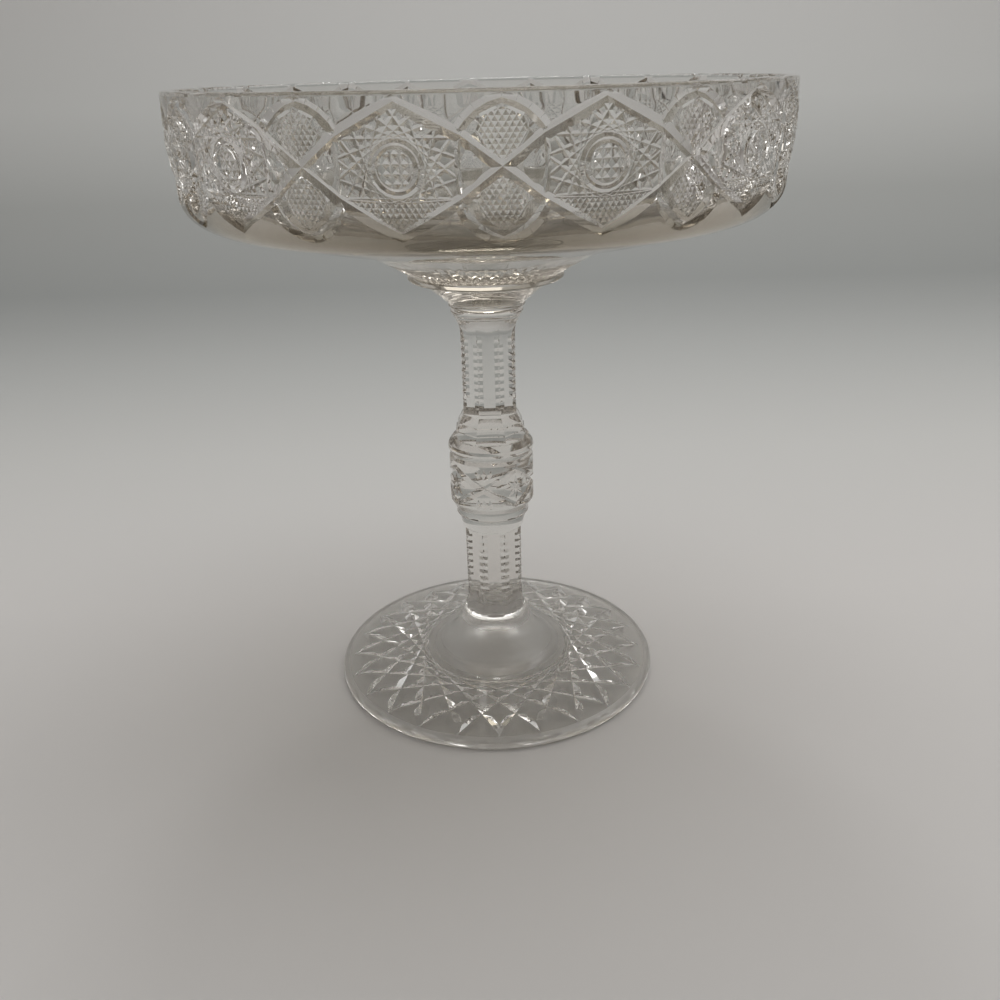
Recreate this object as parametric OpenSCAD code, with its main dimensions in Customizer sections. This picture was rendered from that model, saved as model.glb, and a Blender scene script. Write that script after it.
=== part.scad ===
// Footed compote bowl of pressed glass: a wide shallow bowl with a cut-glass pattern
// on a tall panelled stem and a round starred foot.
// The front of the bowl faces -Y. Millimetres, +Z up, origin under the middle of the foot.

/* [Bowl] */
// Diameter across the rim
rim_d = 203; // [180:1:230]
// Height of the bowl from its joint with the neck to the rim
bowl_h = 50; // [46:1:60]
// Thickness of the wall at the rim
wall_t = 5; // [4:0.5:7]
// Thickness of the floor in the middle
floor_t = 6.5; // [5:0.5:9]
// Depth from the rim to where the wall turns under
wall_h = 31; // [28:1:32]
// How far the wall swells out between the rim and the turn
bulge = 1; // [0:0.25:2]
// How much narrower the wall is at the turn than at the rim
taper = 1.2; // [0:0.2:3]
// Width of the rounded heel
heel_w = 15; // [11:1:18]
// Height of the rounded heel
heel_h = 11; // [9:1:12]
// Rounding of the rim's two edges
rim_round = 0.8; // [0.4:0.1:1.2]

/* [Wall pattern] */
// Number of medallions round the wall
repeats = 12; // [10:2:14]
// Turn of the first crossing from +X
pattern_turn = 2.8; // [0:0.1:29]
// Depth from the rim to the top of a medallion
medallion_top = 1.4; // [1:0.2:3]
// Depth from the rim to the foot of a medallion
medallion_foot = 35; // [33:0.5:36]
// Width of the long mitre cuts
mitre_w = 3.8; // [2.6:0.2:4.6]
// Depth of the long mitre cuts
mitre_depth = 1.4; // [0.8:0.1:1.6]
// Width of the curved cuts round the pointed ovals
oval_cut_w = 3; // [1.6:0.2:3.6]
// Depth of the curved cuts round the pointed ovals
oval_cut_depth = 1.1; // [0.6:0.1:1.4]
// Width of the hollow facets beside a crossing
facet_w = 5.6; // [4:0.2:6.4]
// Depth of the hollow facets beside a crossing
facet_depth = 0.7; // [0.4:0.1:1]
// Diameter of the raised button in a medallion
button_d = 11; // [8:0.5:13]
// Width of the groove round a button
button_cut_w = 1.6; // [1:0.1:2]
// Depth of the groove round a button
button_cut_depth = 1.1; // [0.7:0.1:1.4]
// Number of rays round a button
rays = 8; // [6:2:10]
// Diameter across the tips of the rays
rays_d = 25; // [20:0.5:26]
// Width of a ray
ray_w = 2.6; // [1.6:0.2:3.2]
// Depth of a ray
ray_depth = 0.8; // [0.4:0.1:1.2]

/* [Neck under the bowl] */
// Height of the neck
neck_h = 22.5; // [20:0.5:26]
// Diameter of the neck where it meets the bowl
neck_top_d = 100; // [90:1:110]
// Diameter of the plain ring below the flutes
neck_ring_d = 55; // [50:1:60]
// Height of the plain ring
neck_ring_h = 2; // [1.5:0.1:2.5]
// Number of flutes
flutes = 72; // [48:12:72]
// Depth of a flute
flute_depth = 0.7; // [0.4:0.1:1]

/* [Wafer] */
// Height of the wafer that joins the bowl to the stem
wafer_h = 4; // [3:0.5:6]
// Diameter of the wafer's upper bead
wafer_d = 27.8; // [26:0.2:30]
// Diameter of the wafer's lower bead
wafer_low_d = 26.4; // [25:0.2:28]
// Depth of the crease between the two beads
crease_depth = 0.8; // [0.4:0.1:1.2]

/* [Stem] */
// Number of flat panels round the stem
panels = 8; // [6:1:10]
// Width of the upper shaft across its flat panels
upper_w = 19.6; // [17:0.2:21]
// Width of the lower shaft across its flat panels
lower_w = 21.4; // [18.6:0.2:22.4]
// Height of the upper shaft
upper_h = 37.5; // [32:0.5:45]
// Height of the lower shaft
lower_h = 36; // [30:0.5:42]
// Height of the flare at an end of a shaft
flare_h = 7.5; // [5:0.5:9]
// Diameter of the upper shaft's flare under the wafer
upper_flare_d = 25.2; // [24:0.2:26]
// Pitch of the notches on the upper shaft
upper_pitch = 2.7; // [2.2:0.1:3.4]
// Pitch of the notches on the lower shaft
lower_pitch = 2.9; // [2.2:0.1:3.4]
// Depth of a notch across a panel edge
notch_depth = 0.7; // [0.4:0.1:0.7]

/* [Knop] */
// Height of the knop
knop_h = 46; // [42:1:52]
// Diameter of the knop's drum
drum_d = 32; // [29:0.5:34]
// Height of the drum
drum_h = 18; // [15:0.5:20]
// Height of the foot of the drum above the knop's lower end
drum_z = 11; // [9:0.5:12]
// Diameter of the round ridge above the drum
ridge_d = 32.4; // [30:0.2:35]
// Height of the ridge
ridge_h = 6.5; // [5:0.5:8]
// Diameter of the knop's lower end
knop_end_d = 23.4; // [23.2:0.2:24.6]
// Number of crossings round the drum
crossings = 4; // [3:1:6]
// Turn of the first crossing on the drum from +X
crossing_turn = -11.25; // [-45:0.25:45]
// Width of the cuts on the drum
drum_cut_w = 2.8; // [1.6:0.2:3.4]
// Depth of the cuts on the drum
drum_cut_depth = 1.2; // [0.6:0.1:1.6]

/* [Foot] */
// Diameter of the foot
foot_d = 126.8; // [110:1:140]
// Height of the foot up to its joint with the stem
foot_h = 26; // [22:1:30]
// Diameter of the foot's upper end
foot_top_d = 24.4; // [24:0.2:28]
// Thickness of the foot's edge
foot_edge_h = 4.2; // [3.6:0.2:6]
// Rise of the foot's plate from the edge to the middle
plate_rise = 5.6; // [4.5:0.2:8]
// Height of the hollow under the foot
hollow_h = 5; // [3:0.5:6]
// Height of the round recess in the middle of the hollow, under the stem
recess_h = 10; // [6:0.5:12]
// Diameter of the recess
recess_d = 40; // [32:1:44]
// Width of the flat ring that the foot rests on
rest_w = 2.4; // [1.6:0.2:4]
// Rounding of the foot's edge
foot_round = 1.6; // [1:0.1:1.8]
// Number of points of the star under the foot
star_points = 24; // [16:2:24]
// Diameter across the points of the star
star_d = 117; // [100:1:118]
// Diameter of the plain round inside the star
star_inner_d = 58; // [40:1:70]
// Width of the star's cuts
star_cut_w = 4.6; // [2.6:0.2:5]
// Depth of the star's cuts
star_cut_depth = 1.5; // [0.8:0.1:1.8]

/* [Hidden] */
glass = [0.86, 0.84, 0.85, 0.5];
glass_dark = [0.74, 0.71, 0.7, 0.6];
// One overrun for every cut
over = 1;
// Facets on the round faces of pieces that carry cuts, and on the plain ones
round_fn = 48;
fine_fn = 96;
// Facets of the mitre tool, and its length along the cut as a share of its width
bit_fn = 4;
bit_share = 0.35;
// Facets of a button
button_fn = 8;

// The pieces stand on each other
lower_z = foot_h;
knop_z = lower_z + lower_h;
upper_z = knop_z + knop_h;
wafer_z = upper_z + upper_h;
neck_z = wafer_z + wafer_h;
bowl_z = neck_z + neck_h;
rim_z = bowl_z + bowl_h;

rim_r = rim_d / 2;
foot_r = foot_d / 2;
turn_r = rim_r - taper;
heel_c = turn_r - heel_w;
column = 360 / repeats;

// Places along a curve, from 0 to 1
function steps(count) = [for (i = [0 : count]) i / count];

// 0 to 1 without a corner at either end
function eased(s) = s * s * (3 - 2 * s);

// Outer radius of the bowl at a depth below the rim
function wall_r(d) = d < wall_h
    ? rim_r + bulge * pow(sin(180 * d / wall_h), 2) - taper * eased(d / wall_h)
    : heel_c + heel_w * sqrt(1 - pow(min(1, (d - wall_h) / heel_h), 2));

// Angle by which the bowl's outer face looks down at that depth
function wall_lean(d) = d < wall_h ? 0
    : let (s = (d - wall_h) / heel_h) atan2(s / heel_h, sqrt(1 - s * s) / heel_w);

// Half outlines of the bowl, as radius and height above its joint
heel_turn = 80;
wall_shares = [0, 0.22, 0.45, 0.72, 1];
wall_outline = [for (s = wall_shares) [wall_r(s * wall_h), bowl_h - s * wall_h]];
heel_outline = [for (s = steps(4)) if (s > 0)
    [heel_c + heel_w * cos(heel_turn * s), bowl_h - wall_h - heel_h * sin(heel_turn * s)]];
in_r = rim_r - wall_t;
in_wall_h = wall_h - wall_t / 2;
in_heel_h = heel_h - wall_t / 4;
in_heel_w = heel_w - wall_t / 2;
heel_inside = [for (s = steps(3))
    [in_r - taper - in_heel_w + in_heel_w * sin(90 * s), bowl_h - in_wall_h - in_heel_h * cos(90 * s)]];

// A mitre wheel's edge: a thin pyramid that points into the glass along -X and follows the cut's slope
module bit(width, depth, slope = 0) {
    reach = depth + over;
    translate([-depth, 0, 0])
        rotate([-slope, 0, 0])
            scale([1, bit_share, 1])
                rotate([0, 90, 0])
                    cylinder(h = reach, r1 = 0, r2 = width / 2 * reach / depth, $fn = bit_fn);
}

// The bit on the bowl's wall, at an angle round the bowl, a depth below the rim and a share of its size
module wall_bit(place, width, depth, slope) {
    rotate([0, 0, place[0]])
        translate([wall_r(place[1]), 0, rim_z - place[1]])
            rotate([0, wall_lean(place[1]), 0])
                bit(width * place[2], depth * place[2], slope);
}

// Angle of a millimetre along the rim
arc_turn = 180 / PI / rim_r;
function slope_of(a, b) = atan2(b[1] - a[1], (b[0] - a[0]) / arc_turn);

// A mitre cut through a row of places on the wall
module wall_cut(path, width, depth) {
    for (i = [0 : len(path) - 2])
        let (slope = slope_of(path[i], path[i + 1]))
            hull() {
                wall_bit(path[i], width, depth, slope);
                wall_bit(path[i + 1], width, depth, slope);
            }
}

// Long diagonal cut, from the top of one medallion to the foot of the next
medallion_h = medallion_foot - medallion_top;
mitre_path = [for (s = steps(4)) [column * (s - 0.5), medallion_top + s * medallion_h, 1]];
// Places of the pointed ovals, as shares of a column and of the medallion's height
oval_top_shares = [[0, 0], [0.15, 0.1], [0.2, 0.29]];
side_shares = [[0.2, 0.29], [0.2, 0.71]];
oval_foot_shares = [[0.2, 0.71], [0.16, 0.88], [0, 1.02]];
// Places of a hollow facet beside a crossing, and its sizes there
facet_shares = [[0.145, 0.33], [0.145, 0.5], [0.145, 0.65]];
facet_size_shares = [0.2, 1, 0.2];
ones = [1, 1, 1];
function placed(shares, side, sizes = ones) = [for (i = [0 : len(shares) - 1])
    [side * shares[i][0] * column, medallion_top + shares[i][1] * medallion_h, sizes[i]]];

// One column of the wall pattern: a crossing with its ovals, and half a medallion each side
module wall_column() {
    for (side = [-1, 1]) {
        wall_cut([for (p = mitre_path) [side * p[0], p[1], 1]], mitre_w, mitre_depth);
        wall_cut(placed(oval_top_shares, side), oval_cut_w, oval_cut_depth);
        wall_cut(placed(side_shares, side), oval_cut_w / 2, oval_cut_depth / 2);
        wall_cut(placed(oval_foot_shares, side), oval_cut_w, oval_cut_depth);
        wall_cut(placed(facet_shares, side, facet_size_shares), facet_w, facet_depth);
    }
}

// Round groove that leaves the button standing in the middle of a medallion
middle = (medallion_top + medallion_foot) / 2;
module button_cut() {
    translate([wall_r(middle), 0, rim_z - middle])
        rotate([0, 90, 0])
            translate([0, 0, -button_cut_depth])
                difference() {
                    cylinder(h = button_cut_depth + over, d = button_d + button_cut_w * 2, $fn = button_fn);
                    translate([0, 0, -over])
                        cylinder(h = button_cut_depth + over * 3, d = button_d, $fn = button_fn);
                }
}

// Size of a ray at its tip, as a share of its full size
ray_tip_share = 0.3;

// Star of rays round the button
module button_star() {
    for (k = [0 : rays - 1])
        let (turn = (k + 0.5) * 360 / rays)
            wall_cut([for (end = [[button_d / 2 + button_cut_w, 1], [rays_d / 2, ray_tip_share]])
                [end[0] * cos(turn) * arc_turn, middle + end[0] * sin(turn), end[1]]],
                ray_w, ray_depth);
}

module bowl() {
    color(glass)
        difference() {
            translate([0, 0, bowl_z])
                rotate_extrude($fn = round_fn)
                    polygon(concat(
                        [[0, 0], [neck_top_d / 2, 0]],
                        [for (i = [len(heel_outline) - 1 : -1 : 0]) heel_outline[i]],
                        [for (i = [len(wall_outline) - 1 : -1 : 1]) wall_outline[i]],
                        [[rim_r, bowl_h - rim_round], [rim_r - rim_round, bowl_h]],
                        [[in_r + rim_round, bowl_h], [in_r, bowl_h - rim_round]],
                        [for (i = [len(heel_inside) - 1 : -1 : 0]) heel_inside[i]],
                        [[0, floor_t]]));
            for (k = [0 : repeats - 1])
                rotate([0, 0, pattern_turn + k * column])
                    wall_column();
            for (k = [0 : repeats - 1])
                rotate([0, 0, pattern_turn + (k + 0.5) * column]) {
                    button_cut();
                    button_star();
                }
        }
}

// Outline of the neck above its plain ring, as shares of the run from the ring to the bowl
neck_shares = [[0, 0], [0.3, 0.36], [0.64, 0.7], [1, 1]];
// Foot of the plain ring, as a share of the neck's height
ring_share = 0.39;
ring_z = neck_h * ring_share;
ring_top = ring_z + neck_ring_h;
function neck_point(p) = [neck_ring_d / 2 + p[0] * (neck_top_d - neck_ring_d) / 2,
    ring_top + p[1] * (neck_h - ring_top)];
// Outline of the cone below the ring, as shares of the run from the wafer to the ring
cone_shares = [[0, 0], [0.3, 0.4], [0.66, 0.84], [1, 1]];
function cone_point(p) = [wafer_d / 2 + p[0] * (neck_ring_d - wafer_d) / 2, p[1] * ring_z];

// The two ends of a flute, as shares of the same run, and its size at each end
flute_end_shares = [[0.12, 0.13], [0.62, 0.68]];
flute_size_shares = [0.9, 0.6];
// Lean of the flutes, out of the wall's upright
flute_lean = 55;

// The bit on the neck's flared underside, which faces down and outwards
module flute_bit(p, size) {
    at = neck_point(p);
    width = 360 / flutes * PI / 180 * at[0];
    translate([at[0], 0, neck_z + at[1]])
        rotate([0, flute_lean, 0])
            bit(width * size, flute_depth * size);
}

module neck() {
    color(glass)
        difference() {
            translate([0, 0, neck_z])
                rotate_extrude($fn = round_fn)
                    polygon(concat(
                        [[0, 0]],
                        [for (p = cone_shares) cone_point(p)],
                        [for (p = neck_shares) neck_point(p)],
                        [[0, neck_h]]));
            for (k = [0 : flutes - 1])
                rotate([0, 0, (k + 0.5) * 360 / flutes])
                    hull() {
                        flute_bit(flute_end_shares[0], flute_size_shares[0]);
                        flute_bit(flute_end_shares[1], flute_size_shares[1]);
                    }
        }
}

// Heights of the wafer's beads and crease, as shares of its height
low_bead_shares = [0.15, 0.35];
crease_share = 0.5;
top_bead_shares = [0.62, 0.8];

module wafer() {
    color(glass_dark)
        translate([0, 0, wafer_z])
            rotate_extrude($fn = fine_fn)
                polygon([
                    [0, 0],
                    [upper_flare_d / 2, 0],
                    [wafer_low_d / 2, wafer_h * low_bead_shares[0]],
                    [wafer_low_d / 2, wafer_h * low_bead_shares[1]],
                    [wafer_low_d / 2 - crease_depth, wafer_h * crease_share],
                    [wafer_d / 2 - crease_depth / 4, wafer_h * top_bead_shares[0]],
                    [wafer_d / 2, wafer_h * top_bead_shares[1]],
                    [wafer_d / 2, wafer_h],
                    [0, wafer_h]]);
}

// Panelled column of a shaft, standing on z = 0
module panel_prism(height, width) {
    rotate([0, 0, 180 / panels])
        cylinder(h = height, d = width / cos(180 / panels), $fn = panels);
}

// A notch's deepest place, its end and the next one's start, as shares of the pitch
notch_shares = [0.3, 0.62, 0.98];

// Round core whose outside is a row of ridges. It trims the panels' edges into notches
module notch_core(height, width, pitch) {
    tip = width / 2 / cos(180 / panels);
    count = floor(height / pitch);
    margin = (height - count * pitch) / 2;
    rotate_extrude($fn = fine_fn)
        polygon(concat(
            [[0, 0], [tip + over, 0], [tip + over, margin]],
            [for (i = [0 : count - 1]) each [
                [tip - notch_depth, margin + (i + notch_shares[0]) * pitch],
                [tip, margin + (i + notch_shares[1]) * pitch],
                [tip, margin + (i + notch_shares[2]) * pitch]]],
            [[tip + over, height - margin + over / 4], [tip + over, height], [0, height]]));
}

// A shaft with a flare at one end. flare_at is the height of the flare's wide end
module shaft(height, width, pitch, wide_d, up) {
    union() {
        intersection() {
            panel_prism(height, width);
            notch_core(height, width, pitch);
        }
        translate([0, 0, up ? height - flare_h : 0])
            rotate_extrude($fn = fine_fn)
                polygon(flare_outline(width / 2, wide_d / 2, up));
    }
}

// Outline of a flare, hollow like the inside of a bell
flare_shares = [[0, 0], [0.2, 0.35], [0.52, 0.72], [1, 1]];
function flare_outline(narrow, wide_r, up) = let (
    side = [for (p = flare_shares)
        [narrow + p[0] * (wide_r - narrow), flare_h * (up ? p[1] : 1 - p[1])]])
    up ? concat([[0, 0]], side, [[0, flare_h]])
       : concat([[0, flare_h]], side, [[0, 0]]);

module upper_shaft() {
    color(glass)
        translate([0, 0, upper_z])
            shaft(upper_h, upper_w, upper_pitch, upper_flare_d, true);
}

module lower_shaft() {
    color(glass)
        translate([0, 0, lower_z])
            shaft(lower_h, lower_w, lower_pitch, foot_top_d, false);
}

// Height of the ridge's and the shoulder's lower ends above the knop's lower end
ridge_z = drum_z + drum_h + drum_cut_depth;
shoulder_z = ridge_z + ridge_h;
shoulder_d = ridge_d - drum_cut_depth * 3;

module drum_bit(turn, height, slope) {
    rotate([0, 0, turn])
        translate([drum_d / 2, 0, knop_z + height])
            bit(drum_cut_w, drum_cut_depth, slope);
}

// Stations of a drum cut, as shares of its run. It stops a little short of its neighbour's end
drum_cut_shares = [0, 0.16, 0.33, 0.5, 0.67, 0.84, 0.985];
// The crossed cuts on the drum. Each runs over half the gap between crossings on both sides
module drum_cuts() {
    span = 360 / crossings;
    slope = atan2(drum_h, span * PI / 360 * drum_d);
    for (k = [0 : crossings - 1], side = [-1, 1], i = [0 : len(drum_cut_shares) - 2])
        rotate([0, 0, crossing_turn + k * span])
            hull() {
                drum_bit(side * span * (drum_cut_shares[i] - 0.5),
                    drum_z + drum_h * drum_cut_shares[i], -side * slope);
                drum_bit(side * span * (drum_cut_shares[i + 1] - 0.5),
                    drum_z + drum_h * drum_cut_shares[i + 1], -side * slope);
            }
}

// Bead below the drum, as shares of the run from the knop's end to the drum and of its height
low_bead_place_shares = [[0.4, 0.5], [0.55, 0.55]];
// Widest part of the ridge, as shares of its height
ridge_shares = [0.25, 0.6];

module knop() {
    end_r = knop_end_d / 2;
    color(glass)
        union() {
            difference() {
                translate([0, 0, knop_z])
                    rotate_extrude($fn = round_fn * 2 / 3)
                        polygon([
                            [0, 0],
                            [end_r, 0],
                            for (p = low_bead_place_shares)
                                [end_r + (drum_d / 2 - end_r) * p[0], drum_z * p[1]],
                            [drum_d / 2 - drum_cut_depth, drum_z - drum_cut_depth],
                            [drum_d / 2, drum_z + drum_cut_depth],
                            [drum_d / 2, drum_z + drum_h - drum_cut_depth / 2],
                            [drum_d / 2 - drum_cut_depth, ridge_z],
                            [ridge_d / 2, ridge_z + ridge_h * ridge_shares[0]],
                            [ridge_d / 2, ridge_z + ridge_h * ridge_shares[1]],
                            [shoulder_d / 2, shoulder_z],
                            [0, shoulder_z]]);
                drum_cuts();
            }
            translate([0, 0, knop_z])
                rotate([0, 0, 180 / panels])
                    rotate_extrude($fn = panels)
                        polygon(shoulder_outline());
        }
}

// Stepped shoulder with the shaft's panels, from inside the ridge up to the upper shaft
shoulder_shares = [[1, 0], [0.86, 0.32], [0.8, 0.34], [0.6, 0.62], [0.5, 0.64], [0.12, 1]];
function shoulder_outline() = let (
    rise = knop_h - shoulder_z,
    end_r = upper_w / 2 / cos(180 / panels))
    concat(
        [[0, shoulder_z - over], [end_r, shoulder_z - over]],
        [for (p = shoulder_shares)
            [end_r + p[0] * (shoulder_d / 2 - end_r), shoulder_z + p[1] * rise]],
        [[0, knop_h]]);

// The foot's upper face: a gently rising plate that sweeps up into the stem
sweep_power = 10;
function rise_share(r) = (foot_r - r) / (foot_r - foot_top_d / 2);
function foot_top(r) = foot_edge_h + plate_rise * rise_share(r)
    + (foot_h - foot_edge_h - plate_rise) * pow(rise_share(r), sweep_power);
rest_out = foot_r - foot_round;
rest_in = rest_out - rest_w;
function foot_under(r) = hollow_h * (1 - pow(r / rest_in, 2))
    + recess_h * (1 + cos(180 * min(1, r / (recess_d / 2)))) / 2;
foot_r_shares = [0, 0.36, 0.62, 0.77, 0.87, 0.94, 1];
recess_shares = [0, 0.25, 0.5, 0.75, 1];
under_shares = [0.48, 0.76, 1];

// Size of the star's cuts at their tips, as a share of their full size
star_tip_share = 0.4;

// The bit under the foot, pointing up into the plate
module star_bit(chord, along) {
    r = norm([chord, along]);
    tip_r = star_d / 2;
    size = r > tip_r - over ? star_tip_share : 1;
    translate([chord, along, foot_under(r)])
        rotate([0, 90, 0])
            bit(star_cut_w * size, star_cut_depth * size);
}

// One long cut of the star, from tip to tip past the plain round in the middle
star_cut_shares = [-1, -0.46, 0.06, 0.56, 0.985];
module star_cut() {
    chord = star_inner_d / 2;
    half = sqrt(pow(star_d / 2, 2) - chord * chord);
    for (i = [0 : len(star_cut_shares) - 2])
        hull() {
            star_bit(chord, half * star_cut_shares[i]);
            star_bit(chord, half * star_cut_shares[i + 1]);
        }
}

module foot() {
    color(glass)
        difference() {
            rotate_extrude($fn = round_fn)
                polygon(concat(
                    [for (s = recess_shares) [s * recess_d / 2, foot_under(s * recess_d / 2)]],
                    [for (s = under_shares) [s * rest_in, foot_under(s * rest_in)]],
                    [[rest_out, 0]],
                    [[foot_r, foot_round], [foot_r, foot_edge_h - foot_round]],
                    [for (s = foot_r_shares) let (r = rest_out + s * (foot_top_d / 2 - rest_out))
                        [r, foot_top(r)]],
                    [[0, foot_h]]));
            for (k = [0 : star_points - 1])
                rotate([0, 0, k * 360 / star_points])
                    star_cut();
        }
}

foot();
lower_shaft();
knop();
upper_shaft();
wafer();
neck();
bowl();
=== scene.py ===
# %% [markdown]
# # A footed compote bowl of pressed glass
# The real bowl was pressed in two moulds, one for the bowl and one for the stem with its foot,
# and the two were joined while soft with a wafer of glass. Everything about its look comes from
# cuts: long V-shaped mitres, fine diamonds and stars that bend the light of a pale room.
# So this lesson spends its effort on true cuts in true thick glass, and keeps the light plain.

# %% The frame
from math import atan, atan2, cos, degrees, hypot, pi, radians, sin, sqrt, tan

import bmesh
import bpy
from mathutils import Matrix, Vector


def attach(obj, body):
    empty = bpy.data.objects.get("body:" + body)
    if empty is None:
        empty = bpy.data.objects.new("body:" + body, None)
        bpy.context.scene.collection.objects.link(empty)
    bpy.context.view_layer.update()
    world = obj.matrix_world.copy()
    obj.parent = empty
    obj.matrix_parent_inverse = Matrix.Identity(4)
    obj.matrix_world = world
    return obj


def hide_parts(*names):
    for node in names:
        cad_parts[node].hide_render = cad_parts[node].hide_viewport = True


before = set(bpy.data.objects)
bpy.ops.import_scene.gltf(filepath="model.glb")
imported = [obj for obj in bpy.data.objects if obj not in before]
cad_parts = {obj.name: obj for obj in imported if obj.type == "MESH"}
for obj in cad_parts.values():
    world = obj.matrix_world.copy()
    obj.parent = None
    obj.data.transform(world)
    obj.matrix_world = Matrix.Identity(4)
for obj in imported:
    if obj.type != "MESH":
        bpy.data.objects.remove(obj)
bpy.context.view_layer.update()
MM = 0.001
print("CAD nodes:", sorted(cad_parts))

# %% [markdown]
# ## Camera
# The photograph looks down at the bowl from close by. The lens, the height and the small tilt
# were found from the outline of the foot and the rim, so the camera is given as numbers.

# %% Camera
LENS = 35.575
PITCH, ROLL, HEADING = 0.4147, -0.0259, 0.0083
EYE = Vector((0, -0.3537, 0.2268))

ahead = Vector((sin(HEADING) * cos(PITCH), cos(HEADING) * cos(PITCH), -sin(PITCH)))
level = Vector((cos(HEADING), -sin(HEADING), 0))
above = level.cross(ahead)
side = level * cos(ROLL) + above * sin(ROLL)
top = above * cos(ROLL) - level * sin(ROLL)

camera = bpy.data.objects.new("camera", bpy.data.cameras.new("camera"))
camera.data.lens = LENS
camera.data.clip_start = 0.01
camera.matrix_world = Matrix.Translation(EYE) @ Matrix((side, top, -ahead)).transposed().to_4x4()
bpy.context.scene.collection.objects.link(camera)
bpy.context.scene.camera = camera
print("camera looks down", round(degrees(PITCH), 1), "degrees")

# %% [markdown]
# ## Turning and cutting
# Two helpers make nearly every piece. A half outline spun round Z gives the turned forms.
# The cuts are made the way a cutter makes them: a flat strip of the wall meets V-shaped wheels,
# and Boolean modifiers with the Manifold solver take them away. Only then is the strip bent round.
# A flat strip keeps every cut a plain prism, and one strip serves all its repeats.

# %% Turned forms
def chain(bm, points):
    """Verts and edges along a half outline of (radius, height) in mm"""
    line = [bm.verts.new((r, 0, z)) for r, z in points]
    return line + [bm.edges.new(pair) for pair in zip(line, line[1:])]


def spun(outlines, count):
    """Half outlines spun round Z in count steps"""
    bm = bmesh.new()
    geom = [part for points in outlines for part in chain(bm, points)]
    bmesh.ops.spin(bm, geom=geom, axis=(0, 0, 1), cent=(0, 0, 0), angle=2 * pi, steps=count,
                   use_merge=True, use_duplicate=False)
    bmesh.ops.remove_doubles(bm, verts=bm.verts, dist=SEAM)
    for v in bm.verts:
        r, turn = v.co.xy.length, round(atan2(v.co.y, v.co.x) / (2 * pi) * count) * 2 * pi / count
        v.co.xy = r * cos(turn), r * sin(turn)
    return bm


def curve(count):
    """Places from 0 to 1"""
    return [i / count for i in range(count + 1)]


# %% Wheels and strips
def box(low, high):
    """A block between two corners"""
    bm = bmesh.new()
    bmesh.ops.create_cube(bm, size=1)
    size = [b - a for a, b in zip(low, high)]
    bmesh.ops.scale(bm, vec=size, verts=bm.verts)
    bmesh.ops.translate(bm, vec=[(a + b) / 2 for a, b in zip(low, high)], verts=bm.verts)
    return bm


def only_verts(geom):
    """The vertices among some geometry"""
    return [part for part in geom if isinstance(part, bmesh.types.BMVert)]


# Height of a tool above the glass, how far a wheel runs past each end, and how deep a comb's ridges lie
RISE, LAP, RIDGE = 1.0, 0.02, 0.04
# Distances within which points snap to a side, or merge
SNAP, SEAM = 0.003, 0.001


def wheel(start, end, width, depth):
    """A straight V cut from start to end. Each is (x, y, size), and size scales the V there"""
    bm = bmesh.new()
    a, b = Vector(start[:2]), Vector(end[:2])
    run = (b - a).normalized()
    across = Vector((-run.y, run.x))
    for place, size, lap in ((a, start[2], -LAP), (b, end[2], LAP)):
        place = place + run * lap
        half = width / 2 * (size + RISE / depth)
        for point in (place + across * half, place - across * half):
            bm.verts.new((*point, RISE))
        bm.verts.new((*place, -depth * size))
    bmesh.ops.convex_hull(bm, input=bm.verts)
    return bm


def wheels(path, width, depth):
    """V cuts one after another along a path"""
    return [wheel(a, b, width, depth) for a, b in zip(path, path[1:])]


def comb(center, pitch, depth, turn, reach):
    """Many parallel V cuts side by side, turned by an angle in degrees. Their ridges are just cut"""
    bm = bmesh.new()
    count = int(reach / pitch)
    teeth = [(i * pitch / 2, -RIDGE * depth if i % 2 == 0 else -depth)
             for i in range(-2 * count, 2 * count + 1)]
    ends = [(count * pitch, RISE), (-count * pitch, RISE)]
    face = bm.faces.new([bm.verts.new((x, -reach, z)) for x, z in teeth + ends])
    wall = bmesh.ops.extrude_face_region(bm, geom=[face])["geom"]
    bmesh.ops.translate(bm, vec=(0, 2 * reach, 0), verts=only_verts(wall))
    bmesh.ops.rotate(bm, cent=(0, 0, 0), matrix=Matrix.Rotation(radians(turn), 3, "Z"), verts=bm.verts)
    bmesh.ops.translate(bm, vec=(*center, 0), verts=bm.verts)
    bmesh.ops.recalc_face_normals(bm, faces=bm.faces)
    return bm


def prism(outline, low, high):
    """An upright block with an outline in x and y"""
    bm = bmesh.new()
    face = bm.faces.new([bm.verts.new((x, y, low)) for x, y in outline])
    wall = bmesh.ops.extrude_face_region(bm, geom=[face])["geom"]
    bmesh.ops.translate(bm, vec=(0, 0, high - low), verts=only_verts(wall))
    bmesh.ops.recalc_face_normals(bm, faces=bm.faces)
    return bm


# %% Booleans
def loose(bm, name):
    """A passing object for a modifier to use"""
    mesh = bpy.data.meshes.new(name)
    bm.to_mesh(mesh)
    bm.free()
    obj = bpy.data.objects.new(name, mesh)
    bpy.context.scene.collection.objects.link(obj)
    return obj


def carved(solid, tools, operation="DIFFERENCE"):
    """Solid with each tool taken away, or kept only inside the tool, as a new bmesh"""
    solid = loose(solid, "solid")
    tools = [loose(tool, "tool") for tool in tools]
    for tool in tools:
        modifier = solid.modifiers.new("cut", "BOOLEAN")
        modifier.operation = operation
        modifier.solver = "MANIFOLD"
        modifier.object = tool
    graph = bpy.context.evaluated_depsgraph_get()
    mesh = bpy.data.meshes.new_from_object(solid.evaluated_get(graph))
    out = bmesh.new()
    out.from_mesh(mesh)
    for obj in [solid] + tools:
        old = obj.data
        bpy.data.objects.remove(obj)
        bpy.data.meshes.remove(old)
    bpy.data.meshes.remove(mesh)
    return out


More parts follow.
